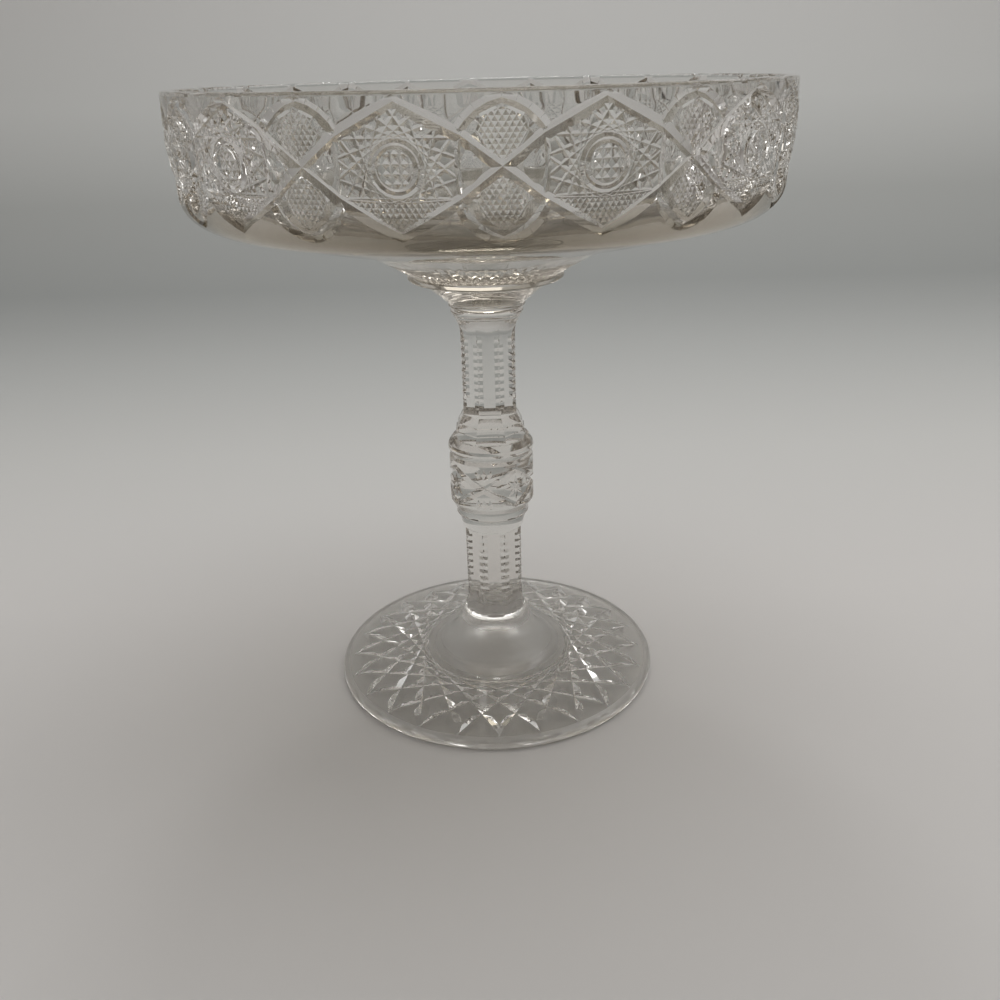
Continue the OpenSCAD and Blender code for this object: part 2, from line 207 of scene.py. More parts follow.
def face_only(bm, sides, back):
    """Keep the cut face of a strip. sides are (point, normal) of its upright planes, back its depth"""
    sides = [(Vector((*point, 0)), Vector((*normal, 0)).normalized()) for point, normal in sides]
    for v in bm.verts:
        for point, normal in sides:
            gap = (v.co - point).dot(normal)
            if abs(gap) < SNAP:
                v.co -= normal * gap
    bmesh.ops.remove_doubles(bm, verts=bm.verts, dist=SNAP)
    on_side = [lambda co, p=p, n=n: abs((co - p).dot(n)) < 1e-4 for p, n in sides]
    on_side.append(lambda co: co.z < back)
    outside = [f for f in bm.faces if any(all(test(v.co) for v in f.verts) for test in on_side)]
    bmesh.ops.delete(bm, geom=outside, context="FACES")
    for _ in range(4):
        thin = [f for f in bm.faces if f.calc_area() < SNAP * max(e.calc_length() for e in f.edges)]
        longest = dict.fromkeys(max(f.edges, key=lambda e: e.calc_length()) for f in thin)
        inner = [e for e in longest if len(e.link_faces) == 2]
        bmesh.ops.dissolve_edges(bm, edges=inner, use_verts=False)
    bmesh.ops.dissolve_limit(bm, angle_limit=radians(0.1), verts=bm.verts, edges=bm.edges)
    bmesh.ops.delete(bm, geom=[e for e in bm.edges if not e.link_faces], context="EDGES")
    return bm


def scored(bm, normal, places):
    """Extra edges where planes with that normal cross the face, so that it can bend"""
    for place in places:
        bmesh.ops.bisect_plane(bm, geom=bm.verts[:] + bm.edges[:] + bm.faces[:], dist=SNAP,
                               plane_co=Vector(normal) * place, plane_no=normal)
    return bm


def copied(bm, geom):
    """The vertices of a copy of some geometry"""
    return only_verts(bmesh.ops.duplicate(bm, geom=geom)["geom"])


def ringed(bm, count, shape):
    """Mirror a strip at y = 0 and repeat it round Z. shape moves each flat point into place first"""
    for v in bm.verts:
        v.co = shape(v.co)
    twin = copied(bm, bm.verts[:] + bm.edges[:] + bm.faces[:])
    bmesh.ops.scale(bm, vec=(1, -1, 1), verts=twin)
    column = bm.verts[:] + bm.edges[:] + bm.faces[:]
    for k in range(1, count):
        turn = Matrix.Rotation(2 * pi * k / count, 3, "Z")
        bmesh.ops.rotate(bm, cent=(0, 0, 0), matrix=turn, verts=copied(bm, column))
    return bm


def merged(parts):
    """Several bmeshes as one closed skin with its faces outwards. Loose slivers and flaps go"""
    whole = bmesh.new()
    for part in parts:
        mesh = bpy.data.meshes.new("part")
        part.to_mesh(mesh)
        part.free()
        whole.from_mesh(mesh)
        bpy.data.meshes.remove(mesh)
    bmesh.ops.remove_doubles(whole, verts=whole.verts, dist=SEAM)
    bmesh.ops.delete(whole, geom=[e for e in whole.edges if not e.link_faces], context="EDGES")
    shares = {f: [len(e.link_faces) for e in f.edges] for f in whole.faces}
    flaps = [f for f, counts in shares.items() if 1 in counts and (max(counts) > 2 or max(counts) == 1)]
    bmesh.ops.delete(whole, geom=flaps, context="FACES")
    bmesh.ops.recalc_face_normals(whole, faces=whole.faces)
    return whole


# %% [markdown]
# ## The bowl's wall
# The wall carries twelve crossings, each with a pointed oval of fine diamonds above and below it,
# and twelve medallions between them with a cross-cut button inside a star. Both are symmetric,
# so half a column, 15 degrees wide, holds the whole pattern. It is cut flat, in mm, with x along
# the wall from a crossing and y down from the rim, and then bent and repeated.

# %% Sizes of the bowl
TURNS = 192
RIM_R, RIM_Z, JOINT_Z = 101.5, 222.0, 172.0
WALL_T, WALL_H, BULGE, TAPER = 5.0, 31.0, 0.9, 1.2
HEEL_W, HEEL_H = 15.0, 11.0
REPEATS, PATTERN_TURN = 12, 2.8
HALF = pi / REPEATS * RIM_R
BAND_TOP, BAND_FOOT = 0.7, 38.6


def ease(s):
    """0 to 1 without a corner at either end"""
    return s * s * (3 - 2 * s)


def wall_r(d):
    """Outer radius at a depth below the rim"""
    if d < WALL_H:
        return RIM_R + BULGE * sin(pi * d / WALL_H) ** 2 - TAPER * ease(d / WALL_H)
    s = min(1, (d - WALL_H) / HEEL_H)
    return RIM_R - TAPER - HEEL_W + HEEL_W * sqrt(1 - s * s)


def on_wall(co):
    """A flat point of the strip in its place on the wall"""
    d = co.y
    lean = atan((wall_r(d - 0.01) - wall_r(d + 0.01)) / 0.02)
    r = wall_r(d) + co.z * cos(lean)
    turn = co.x / RIM_R
    return Vector((r * cos(turn), r * sin(turn), RIM_Z - d - co.z * sin(lean)))


# %% Places of the pattern
CROSS, TOP_NODE, LOW_NODE = (0, 18), (10.4, 10.4), (10.3, 25.5)
TOP_APEX, LOW_APEX = (HALF, 2.5), (HALF, 34.6)
BUTTON = (HALF, 18.1)
top_oval = [(0, 2.2), (3.4, 3.1), (6.5, 4.8), (9.2, 7.1), (10.7, 9.0), TOP_NODE]
low_oval = [(0, 36.0), (3.4, 34.9), (6.5, 32.9), (9.2, 30.2), (10.7, 27.6), LOW_NODE]
flank = [TOP_NODE, (11.0, 14), (11.2, 18), (11.0, 22), LOW_NODE]


def past(a, b, share):
    """The point past b on the way from a, by a share of that way"""
    return tuple(q + (q - p) * share for p, q in zip(a, b))


def sized(path, sizes):
    """The places of a path, each with the size of the wheel there"""
    return [(*place, size) for place, size in zip(path, sizes)]


def halfway(a, b):
    """The middle between two points"""
    return tuple((p + q) / 2 for p, q in zip(a, b))


# %% Mitres, ovals and flanks
# Width and depth of each kind of cut
MITRE, OVAL, FLANK, FACET, LENS_CUT = (3.8, 1.4), (3.2, 1.1), (1.5, 0.6), (5.6, 0.7), (3.4, 0.5)
cuts = []
for corner, apex in ((TOP_NODE, TOP_APEX), (LOW_NODE, LOW_APEX)):
    arm = [past(corner, CROSS, 0.15), halfway(CROSS, corner), corner, halfway(corner, apex),
           past(corner, apex, 0.08)]
    cuts += wheels(sized(arm, (0.85, 1, 0.9, 1, 0.7)), *MITRE)
for oval in (top_oval, low_oval):
    start = [(-0.6, oval[0][1])] + oval
    cuts += wheels(sized(start, (0.75, 0.75, 0.95, 1, 1, 0.9, 0.7)), *OVAL)
cuts += wheels(sized(flank, (1, 1, 1, 1, 1)), *FLANK)
facet = [(7.7, 12.8), (7.7, 15), (7.7, 18), (7.7, 21), (7.7, 23.0)]
cuts += wheels(sized(facet, (0.2, 0.75, 1, 0.75, 0.2)), *FACET)
lens_top = [(1.2, 15.6), (4.9, 12.7), (6.6, 9.8), (5.2, 6.4), (1.2, 4.6)]
lens_low = [(1.2, 20.6), (4.9, 23.4), (6.5, 26.4), (5.2, 29.9), (1.2, 32.8)]
for lens in (lens_top, lens_low):
    cuts += wheels(sized(lens, (0.3, 0.9, 1, 0.9, 0.3)), *LENS_CUT)
print("mitres and ovals:", len(cuts), "wheels")

# %% Fine diamonds
DIAMOND_TURNS, DIAMOND_PITCH, DIAMOND_DEPTH = (33, -33), 1.4, 0.5
# Depth and height of the blocks that hold a field of cuts, the height less than RISE
FIELD_LOW, FIELD_HIGH = -2, 0.9


def inside_of(outline, tool):
    """The part of a tool that lies inside an outline"""
    return carved(tool, [prism(outline, FIELD_LOW, FIELD_HIGH)], "INTERSECT")


def diamonds(center, outline, reach, turns=DIAMOND_TURNS, pitch=DIAMOND_PITCH, depth=DIAMOND_DEPTH):
    """Two combs across each other, kept inside an outline. One is less deep, so no two valleys meet"""
    return [inside_of(outline, comb(center, pitch, depth * size, turn, reach))
            for turn, size in zip(turns, (1, 0.9))]


cuts += diamonds((0.13, 10), [(-1, 16.6)] + lens_top + [(-1, 3.9)], 12)
cuts += diamonds((0.13, 27), [(-1, 19.6)] + lens_low + [(-1, 34)], 12)

# %% Medallion: star, button and the diamonds below it
STAR_POINTS, STAR_R, STAR_INNER, RAY = 20, 15.2, 7.2, (2.7, 0.75)
SHELF, SHELF_CUT, FAR_X = 26.4, (1.5, 0.7), HALF + 1
BUTTON_R, BUTTON_CORNERS, BUTTON_PITCH, BUTTON_DEPTH = 4.6, 16, 2.4, 0.55
GROOVE_R, GROOVE_HALF = 5.6, 1.7
star_field = [TOP_NODE, *flank[1:-1], LOW_NODE, (FAR_X, SHELF), (FAR_X, 1.9), TOP_APEX]
for k in range(STAR_POINTS):
    out = Vector((cos(2 * pi * k / STAR_POINTS), sin(2 * pi * k / STAR_POINTS)))
    along = Vector((-out.y, out.x)) * sqrt(STAR_R ** 2 - STAR_INNER ** 2)
    mid = Vector(BUTTON) + out * STAR_INNER
    for tip in (mid - along, mid + along):
        cuts.append(inside_of(star_field, wheel((*mid, 1), (*tip, 0.35), *RAY)))
cuts += diamonds((HALF, 30), [LOW_NODE, (FAR_X, SHELF), (FAR_X, 34.8), LOW_APEX], 18)
cuts += wheels(sized([LOW_NODE, (FAR_X, SHELF)], (0.8, 0.8)), *SHELF_CUT)

groove = bmesh.new()
groove_v = [(GROOVE_R, -1), (GROOVE_R - GROOVE_HALF, RISE), (GROOVE_R + GROOVE_HALF, RISE), (GROOVE_R, -1)]
bmesh.ops.spin(groove, geom=chain(groove, groove_v), axis=(0, 0, 1), cent=(0, 0, 0), angle=2 * pi, steps=32,
               use_merge=True)
bmesh.ops.remove_doubles(groove, verts=groove.verts, dist=SEAM)
bmesh.ops.recalc_face_normals(groove, faces=groove.faces)
bmesh.ops.translate(groove, vec=(*BUTTON, 0), verts=groove.verts)
cuts.append(groove)
button = [(BUTTON[0] + BUTTON_R * cos(2 * pi * k / BUTTON_CORNERS),
           BUTTON[1] + BUTTON_R * sin(2 * pi * k / BUTTON_CORNERS)) for k in range(BUTTON_CORNERS)]
cuts += diamonds(BUTTON, button, 10, (0, 90), BUTTON_PITCH, BUTTON_DEPTH)
print("wall cuts in all:", len(cuts))

# %% The cut strip, bent and repeated
STRIP_T = 4.0


def cut_strip(width, low, high, tools):
    """The cut face of a flat strip of glass from x = 0 to its width, and between two depths"""
    bm = carved(box((0, low, -STRIP_T), (width, high, 0)), tools)
    sides = [((0, 0), (-1, 0)), ((width, 0), (1, 0)), ((0, low), (0, -1)), ((0, high), (0, 1))]
    return face_only(bm, sides, 0.1 - STRIP_T)


strip = cut_strip(HALF, BAND_TOP, BAND_FOOT, cuts)
scored(strip, (1, 0, 0), [HALF * s for s in curve(TURNS // REPEATS // 2)[1:-1]])
scored(strip, (0, 1, 0), [3.5, 7, 11, 15, 19, 23, 27, 30, 31.5, 32.8, 34, 35.1, 36.2, 37.2, 38])
print("strip faces:", len(strip.faces))
wall = ringed(strip, REPEATS, on_wall)
print("wall faces:", len(wall.faces))

# %% [markdown]
# ## Glass
# One pressing is one body of glass, so where two of its pieces meet no light should turn.
# Each piece is closed, with a skin of clear glass, and the flat joint faces get a skin that
# lets everything through. The glass has a faint grey warmth, and its fire-polished skin is
# not quite flat: a very soft bump moves the reflections, and the roughness changes a little.
# The foot's edge is worn and its dome is hazy as unpolished glass is. The thick heel of the bowl
# is darker by height: a painted shade for the unlit side of the room it shows, and for the deeper colour of its
# thick glass.

# %% Shader nodes
def node_tree(name):
    """A new material, its empty tree and the output node"""
    material = bpy.data.materials.new(name)
    material.use_nodes = True
    tree = material.node_tree
    tree.nodes.clear()
    return material, tree, tree.nodes.new("ShaderNodeOutputMaterial")


def add_node(tree, kind, inputs, **settings):
    """A shader node. inputs maps each socket to its constant, or to the output that feeds it"""
    new = tree.nodes.new("ShaderNode" + kind)
    for name, value in settings.items():
        setattr(new, name, value)
    for socket, value in inputs.items():
        if isinstance(value, bpy.types.NodeSocket):
            tree.links.new(value, new.inputs[socket])
        else:
            new.inputs[socket].default_value = value
    return new


def ranged(tree, value, low, high, top=1, kind="SMOOTHSTEP"):
    """0 where a value is low, rising to top where it is high"""
    inputs = {"Value": value, "From Min": low, "From Max": high, "To Max": top}
    return add_node(tree, "MapRange", inputs, interpolation_type=kind).outputs["Result"]


def blend(tree, share, a, b):
    """Colour a turning into colour b"""
    return add_node(tree, "Mix", {"Factor": share, "A": a, "B": b}, data_type="RGBA").outputs["Result"]


# %% Finishes
IOR = 1.5
# Noises on the skin, per metre, and the most roughness that the finer polish leaves
CLOUD_SCALE, SWELL_SCALE, SWELL_H, POLISH = 60, 90, 0.0004, 0.05
# Where wear and haze start and are full: distance from the frame's origin and height, in metres
WORN_REACH, WORN_Z, WEAR = (0.0592, 0.0618), (0.0075, 0.0065), 0.28
HAZE_REACH, HAZE = (0.030, 0.021), 0.42
# Painted shade on the bowl's heel: the heights where it fades in from above and from below, and its darker
# colour
HEEL_TOP_Z, HEEL_LOW_Z, HEEL_PAINTED_SHADE = (0.194, 0.184), (0.168, 0.178), (0.45, 0.41, 0.335, 1)
BODY_TINT = (0.62, 0.57, 0.49, 1)


def pressed_glass(name, tint, ripple, density):
    """Clear rippled glass that darkens with depth, with a painted shade on the bowl's heel. Faces with the
    attribute joint let light straight through
    """
    material, tree, out = node_tree(name)
    place = add_node(tree, "TexCoord", {}).outputs["Object"]
    height = add_node(tree, "SeparateXYZ", {"Vector": place}).outputs["Z"]
    reach = add_node(tree, "VectorMath", {0: place}, operation="LENGTH").outputs["Value"]
    cloud = add_node(tree, "TexNoise", {"Vector": place, "Scale": CLOUD_SCALE, "Detail": 3}).outputs["Fac"]
    swell = add_node(tree, "TexNoise", {"Vector": place, "Scale": SWELL_SCALE}).outputs["Fac"]

    polish = ranged(tree, cloud, 0, 1, POLISH, "LINEAR")
    edge = ranged(tree, reach, *WORN_REACH)
    low = ranged(tree, height, *WORN_Z, WEAR, "LINEAR")
    wear = add_node(tree, "Math", {0: edge, 1: low, 2: polish}, operation="MULTIPLY_ADD").outputs["Value"]
    haze = ranged(tree, reach, *HAZE_REACH, HAZE)

    clearer = (*[min(1, c * 1.02) for c in tint], 1)
    # Painted shade: a darker colour in a band of height at the bowl's heel
    heel_shade = {0: ranged(tree, height, *HEEL_TOP_Z), 1: ranged(tree, height, *HEEL_LOW_Z)}
    heel_shade = add_node(tree, "Math", heel_shade, operation="MULTIPLY").outputs["Value"]
    bump = add_node(tree, "Bump", {"Strength": ripple, "Distance": SWELL_H, "Height": swell})
    shader = add_node(tree, "BsdfPrincipled", {
        "Base Color": blend(tree, heel_shade, blend(tree, cloud, (*tint, 1), clearer), HEEL_PAINTED_SHADE),
        "Roughness": add_node(tree, "Math", {0: wear, 1: haze}).outputs["Value"],
        "Normal": bump.outputs["Normal"],
        "Transmission Weight": 1, "IOR": IOR})
    skin = add_node(tree, "MixShader", {
        "Fac": add_node(tree, "Attribute", {}, attribute_name="joint").outputs["Fac"],
        1: shader.outputs["BSDF"], 2: add_node(tree, "BsdfTransparent", {}).outputs["BSDF"]})
    body = add_node(tree, "VolumeAbsorption", {"Color": BODY_TINT, "Density": density})
    tree.links.new(skin.outputs["Shader"], out.inputs["Surface"])
    tree.links.new(body.outputs["Volume"], out.inputs["Volume"])
    return material


RIPPLE, WAFER_RIPPLE = 0.12, 0.2
# Absorption of the glass. The foot's is lower and its tint clearer, a lighter copy of the same glass: painted
# light on the foot
DENSITY, FOOT_PAINTED_LIGHT_DENSITY = 11, 6
clear_glass = pressed_glass("clear_pressed_glass", (0.99, 0.985, 0.975), RIPPLE, DENSITY)
# Painted light: the foot gets a lighter, clearer copy of the glass
foot_glass_painted_light = pressed_glass("foot_pressed_glass_painted_light", (1, 0.992, 0.97), RIPPLE, FOOT_PAINTED_LIGHT_DENSITY)
wafer_glass = pressed_glass("wafer_glass", (0.975, 0.965, 0.955), WAFER_RIPPLE, DENSITY)


# %% Finished pieces
# Half the gap between two fused faces, in mm
JOINT_GAP = 0.005


def finished(bm, name, node, material=clear_glass, joints=(), joint_r=99, sharp=14):
    """Bmesh in mm to a piece that stands for its CAD node. joints are the heights of its fused
    faces, within joint_r. Edges up to sharp degrees are shaded smooth"""
    open_edges = sum(len(e.link_faces) != 2 for e in bm.edges)
    middle = sum(v.co.z for v in bm.verts) / len(bm.verts)
    joint = bm.faces.layers.float.new("joint")
    for z in joints:
        level = {v for v in bm.verts if abs(v.co.z - z) < SEAM}
        for face in bm.faces:
            if level.issuperset(face.verts) and all(v.co.xy.length < joint_r for v in face.verts):
                face[joint] = 1
        bmesh.ops.translate(bm, vec=(0, 0, JOINT_GAP if z < middle else -JOINT_GAP), verts=list(level))
    bmesh.ops.scale(bm, vec=(MM, MM, MM), verts=bm.verts)
    for face in bm.faces:
        face.smooth = True
    for edge in bm.edges:
        edge.smooth = edge.calc_face_angle(pi) < radians(sharp)
    mesh = bpy.data.meshes.new(name)
    bm.to_mesh(mesh)
    bm.free()
    mesh.materials.append(material)
    obj = bpy.data.objects.new(name, mesh)
    bpy.context.scene.collection.objects.link(obj)
    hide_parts(node)
    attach(obj, "root")
    mesh.calc_loop_triangles()
    print(f"{name}: {len(mesh.loop_triangles)} triangles, {open_edges} open edges")


# %% [markdown]
# ## The rest of the bowl
# The rim, the inside, the floor and the underside are plain turned glass. They are spun with
# the same steps as the wall's strip, so the two meet vertex to vertex and merge into one skin.

# %% Rim, inside and underside
IN_WALL_H, IN_HEEL_H, IN_HEEL_W, FLOOR_T = 28.5, 9.75, 12.5, 6.5
NECK_TOP_R, ROUND, IN_ROUND = 50.0, 0.65, 1.4
SCALLOPS, SCALLOP, SCALLOP_H = 96, 0.45, 2.5
IN_R = RIM_R - WALL_T


def arc(center, radii, start, end, count):
    """Points along part of an ellipse, angles in degrees"""
    return [(center[0] + radii[0] * cos(radians(start + (end - start) * s)),
             center[1] + radii[1] * sin(radians(start + (end - start) * s))) for s in curve(count)]


inner_r = IN_R - TAPER - IN_HEEL_W
inside = [(wall_r(BAND_TOP), RIM_Z - BAND_TOP)]
inside += arc((RIM_R - ROUND, RIM_Z - ROUND), (ROUND, ROUND), 0, 90, 5)
inside += arc((IN_R + IN_ROUND, RIM_Z - IN_ROUND), (IN_ROUND, IN_ROUND), 90, 180, 8)
inside += [(IN_R - TAPER * ease(s), RIM_Z - IN_ROUND - (IN_WALL_H - IN_ROUND) * s) for s in curve(10)[1:]]
inside += arc((inner_r, RIM_Z - IN_WALL_H), (IN_HEEL_W, IN_HEEL_H), 0, -84, 14)[1:]
edge_r, edge_z = inside[-1]
inside += [(edge_r * (1 - s), JOINT_Z + FLOOR_T + (edge_z - JOINT_Z - FLOOR_T) * (1 - s) ** 2)
           for s in curve(16)[1:]]
under = [(0, JOINT_Z), (NECK_TOP_R / 2, JOINT_Z), (NECK_TOP_R, JOINT_Z)]
heel_end = (86.5, RIM_Z - WALL_H - HEEL_H + 0.2)
under += [(NECK_TOP_R + (heel_end[0] - NECK_TOP_R) * s, JOINT_Z + (heel_end[1] - JOINT_Z) * s ** 1.25)
          for s in curve(8)[1:]]
under += [(wall_r(d), RIM_Z - d) for d in (41.8, 41.4, 40.8, 40.1, 39.4, BAND_FOOT)]
turned = spun([inside, under], TURNS)
for v in turned.verts:
    r, high = v.co.xy.length, v.co.z - (RIM_Z - SCALLOP_H)
    if high > 0 and r < RIM_R - ROUND - 0.1:
        swing = cos(SCALLOPS * atan2(v.co.y, v.co.x))
        v.co.xy *= (r + SCALLOP * swing * sin(pi * min(1, high / SCALLOP_H) * 0.5)) / r


def turned_by(bm, angle):
    """Turn a bmesh round Z by an angle in degrees"""
    bmesh.ops.rotate(bm, cent=(0, 0, 0), matrix=Matrix.Rotation(radians(angle), 3, "Z"), verts=bm.verts)


bowl = merged([wall, turned])
turned_by(bowl, PATTERN_TURN)
finished(bowl, "bowl_glass", "bowl", joints=[JOINT_Z])

# %% [markdown]
# ## The fluted neck and the wafer
# Below the bowl the underside narrows in a flare with seventy-two small flutes, a plain ring and
# a cone. The flutes are V-shaped valleys, so the outline is spun with four steps to a flute and
# the vertices in the valleys are pushed in.

# %% Neck
FLUTES, FLUTE_DEPTH = 72, 0.55
NECK_Z, RING_R, RING_Z, RING_H, WAFER_R = 149.5, 27.5, 158.275, 2.0, 13.9
flare = [(0, 0), (0.08, 0.1), (0.18, 0.23), (0.3, 0.36), (0.42, 0.48), (0.54, 0.6), (0.66, 0.71),
         (0.78, 0.82), (0.9, 0.92), (1, 1)]
cone = [(0, 0), (0.14, 0.2), (0.3, 0.4), (0.48, 0.63), (0.66, 0.84), (0.84, 0.94), (1, 1)]
ring_top = RING_Z + RING_H
outline = [(0, NECK_Z), (WAFER_R, NECK_Z)]
outline += [(WAFER_R + (RING_R - WAFER_R) * a, NECK_Z + (RING_Z - NECK_Z) * b) for a, b in cone[1:]]
outline += [(RING_R + 0.35, RING_Z + 0.5), (RING_R + 0.35, ring_top - 0.5)]
outline += [(RING_R + (NECK_TOP_R - RING_R) * a, ring_top + (JOINT_Z - ring_top) * b) for a, b in flare]
outline += [(0, JOINT_Z)]
neck = spun([outline], FLUTES * 4)
for v in neck.verts:
    r, z = v.co.xy.length, v.co.z
    if ring_top + 0.1 < z < JOINT_Z - 0.1:
        s = (z - ring_top) / (JOINT_Z - ring_top)
        phase = atan2(v.co.y, v.co.x) / (2 * pi) * FLUTES % 1
        depth = FLUTE_DEPTH * sin(pi * min(1, s * 1.5)) * abs(phase - 0.5) * 2
        v.co.xy *= (r - depth * 0.8) / r
        v.co.z += depth * 0.6
bmesh.ops.recalc_face_normals(neck, faces=neck.faces)
finished(neck, "neck_glass", "neck", joints=[NECK_Z, JOINT_Z])

# %% Wafer
WAFER_Z, LOW_BEAD_R, FLARE_R = 145.5, 13.2, 12.6
beads = [(FLARE_R, 0), (13.0, 0.3), (LOW_BEAD_R, 0.8), (13.1, 1.3), (12.75, 1.7), (12.5, 2.0),
         (12.9, 2.25), (13.5, 2.6), (WAFER_R, 3.2)]
outline = [(0, WAFER_Z)] + [(r, WAFER_Z + z) for r, z in beads] + [(WAFER_R, NECK_Z), (0, NECK_Z)]
wafer = spun([outline], 96)
bmesh.ops.recalc_face_normals(wafer, faces=wafer.faces)
finished(wafer, "wafer_glass", "wafer", wafer_glass, joints=[WAFER_Z, NECK_Z], sharp=30)

# %% [markdown]
# ## The panelled shafts
# Each shaft is an eight-sided column whose edges carry a ladder of notches. One panel edge is
# modelled as three lines of vertices up the shaft, and at each notch the middle one steps in.
# The flare is the same column morphing into a circle, as the mould-maker filed it.

# %% Shafts
PANELS, UPPER_W, LOWER_W, NOTCH, NOTCH_REACH = 8, 19.6, 21.4, 0.75, 1.9
FLARE_H, PLAIN_H, LIP = 7.5, 2.0, 0.2
panel = 2 * pi / PANELS


def notched_shaft(name, node, low, high, width, pitch, flare_r, up):
    """Panelled column with a ladder of notches and a round flare at one end"""
    flat_r = width / 2
    corner_r = flat_r / cos(pi / PANELS)
    flat = flat_r * tan(pi / PANELS) - NOTCH_REACH
    height = high - low
    count = int((height - FLARE_H - 2 * PLAIN_H) / pitch)
    start = height - FLARE_H - PLAIN_H - count * pitch
    levels = [(0, 0), (start - LIP, 0)]
    for i in range(count):
        z = start + i * pitch
        levels += [(z, 0), (z + pitch * 0.42, 1), (z + pitch * 0.84, 0)]
    levels += [(start + count * pitch + LIP, 0)]
    levels += [(height - FLARE_H + FLARE_H * s, -s) for s in curve(10)[1:]]
    edge_turn, edge_r = atan(flat / flat_r), hypot(flat_r, flat)
    bm = bmesh.new()
    rings = []
    for z, cut in levels:
        ring = []
        for k in range(PANELS):
            notch_r = corner_r - (NOTCH if cut > 0 else 0)
            for r, turn in ((flat_r, 0), (edge_r, edge_turn), (notch_r, panel / 2),
                            (edge_r, panel - edge_turn)):
                if cut < 0:
                    sweep = flat_r + (flare_r - flat_r) * (-cut) ** 1.5
                    r = max(r + (flare_r - r) * (-cut) ** 2.5, sweep)
                turn += k * panel
                ring.append(bm.verts.new((r * cos(turn), r * sin(turn), low + z if up else high - z)))
        rings.append([bm.edges.new((a, b)) for a, b in zip(ring, ring[1:] + ring[:1])])
    for a, b in zip(rings, rings[1:]):
        bmesh.ops.bridge_loops(bm, edges=a + b)
    bmesh.ops.holes_fill(bm, edges=rings[0] + rings[-1])
    bmesh.ops.recalc_face_normals(bm, faces=bm.faces)
    finished(bm, name, node, joints=[low, high], sharp=9)


KNOP_LOW, KNOP_HIGH, FOOT_H, FOOT_TOP_R = 62.0, 108.0, 26.0, 12.2
notched_shaft("upper_shaft_glass", "upper_shaft", KNOP_HIGH, WAFER_Z, UPPER_W, 2.7, FLARE_R, True)
notched_shaft("lower_shaft_glass", "lower_shaft", FOOT_H, KNOP_LOW, LOWER_W, 2.9, FOOT_TOP_R, False)

# %% [markdown]
# ## The knop
# The knop is a stepped octagonal shoulder, a round ridge, and a drum with four crossings and
# small stars between them. The drum's wall is cut as the bowl's wall was, flat and then bent.
# The rest is turned, and the shoulder's vertices move out to an octagon.

# %% Drum
DRUM_R, DRUM_LOW, DRUM_HIGH, CROSSING_TURN = 16.0, 73.0, 91.0, -11.25
DRUM_TURNS, CROSSINGS, DRUM_EDGE = 96, 4, 0.7
DRUM_MITRE, SPIKE, SPARK, SPARKS, SPARK_R = (2.9, 1.3), (2.2, 0.9), (1.9, 0.8), 8, 4.6
QUARTER = pi / CROSSINGS * DRUM_R
drum_h = DRUM_HIGH - DRUM_LOW
drum_cuts = []
for end_y in (1.9, drum_h - 1.9):
    arm = [past((QUARTER, end_y), (0, drum_h / 2), 0.1), (QUARTER * 0.5, (drum_h / 2 + end_y) / 2),
           past((0, drum_h / 2), (QUARTER, end_y), 0.06)]
    drum_cuts += wheels(sized(arm, (0.9, 1, 0.55)), *DRUM_MITRE)
    way = 1 if end_y < drum_h / 2 else -1
    base = drum_h / 2 - way * (drum_h / 2 - 0.9)
    for x, lean in ((0, 0), (2.6, -0.5)):
        spike = [(x, base + way * 0.4), (x + lean * 0.5, base + way * 1.9), (x + lean, base + way * 3.9)]
        drum_cuts += wheels(sized(spike, (0.25, 1, 0.1)), *SPIKE)
for k in range(SPARKS):
    turn = 2 * pi * k / SPARKS
    tip = (QUARTER + SPARK_R * cos(turn), drum_h / 2 + SPARK_R * sin(turn))
    start = past(tip, (QUARTER, drum_h / 2), 0.1)
    drum_cuts += wheels(sized([start, halfway(start, tip), tip], (0.7, 1, 0.1)), *SPARK)
drum = cut_strip(QUARTER, DRUM_EDGE, drum_h - DRUM_EDGE, drum_cuts)
scored(drum, (1, 0, 0), [QUARTER * s for s in curve(DRUM_TURNS // CROSSINGS // 2)[1:-1]])


def on_drum(co):
    """A flat point of the strip in its place on the drum"""
    r, turn = DRUM_R + co.z, co.x / DRUM_R
    return Vector((r * cos(turn), r * sin(turn), DRUM_HIGH - co.y))


drum = ringed(drum, CROSSINGS, on_drum)
turned_by(drum, CROSSING_TURN)

# %% Knop
SHOULDER_R, SHOULDER_Z = 14.4, 98.7
upper = [(DRUM_R, DRUM_HIGH - DRUM_EDGE), (15.85, 91.1), (15.3, 91.7), (14.8, 92.2), (15.3, 92.9), (15.9, 93.7)]
upper += [(16.2, 94.6), (16.2, 95.5), (15.9, 96.6), (15.3, 97.6), (SHOULDER_R, SHOULDER_Z)]
shoulder = [(1, 0), (0.86, 0.32), (0.78, 0.35), (0.6, 0.62), (0.5, 0.655), (0.2, 0.9), (0, 1)]
top_r, end_r = [w / 2 / cos(pi / PANELS) for w in (UPPER_W, LOWER_W)]
upper += [(top_r + (SHOULDER_R - top_r) * a, SHOULDER_Z + 0.05 + (KNOP_HIGH - SHOULDER_Z - 0.05) * b)
          for a, b in shoulder]
upper += [(0, KNOP_HIGH)]
lower = [(0, KNOP_LOW), (end_r, KNOP_LOW), (11.7, KNOP_LOW), (12.3, 64.6), (13.1, 67.2), (13.75, 67.7),
         (13.95, 68.1), (13.75, 68.5), (14.2, 70.6), (14.9, 71.9), (15.6, 72.9), (DRUM_R, DRUM_LOW + DRUM_EDGE)]
turned = spun([upper, lower], DRUM_TURNS)
for v in turned.verts:
    if v.co.z > SHOULDER_Z + 0.02 or v.co.z < KNOP_LOW + 0.01 and v.co.xy.length < 11.6:
        turn = (atan2(v.co.y, v.co.x) + pi / PANELS) % panel - pi / PANELS
        v.co.xy *= cos(pi / PANELS) / cos(turn)
knop = merged([drum, turned])
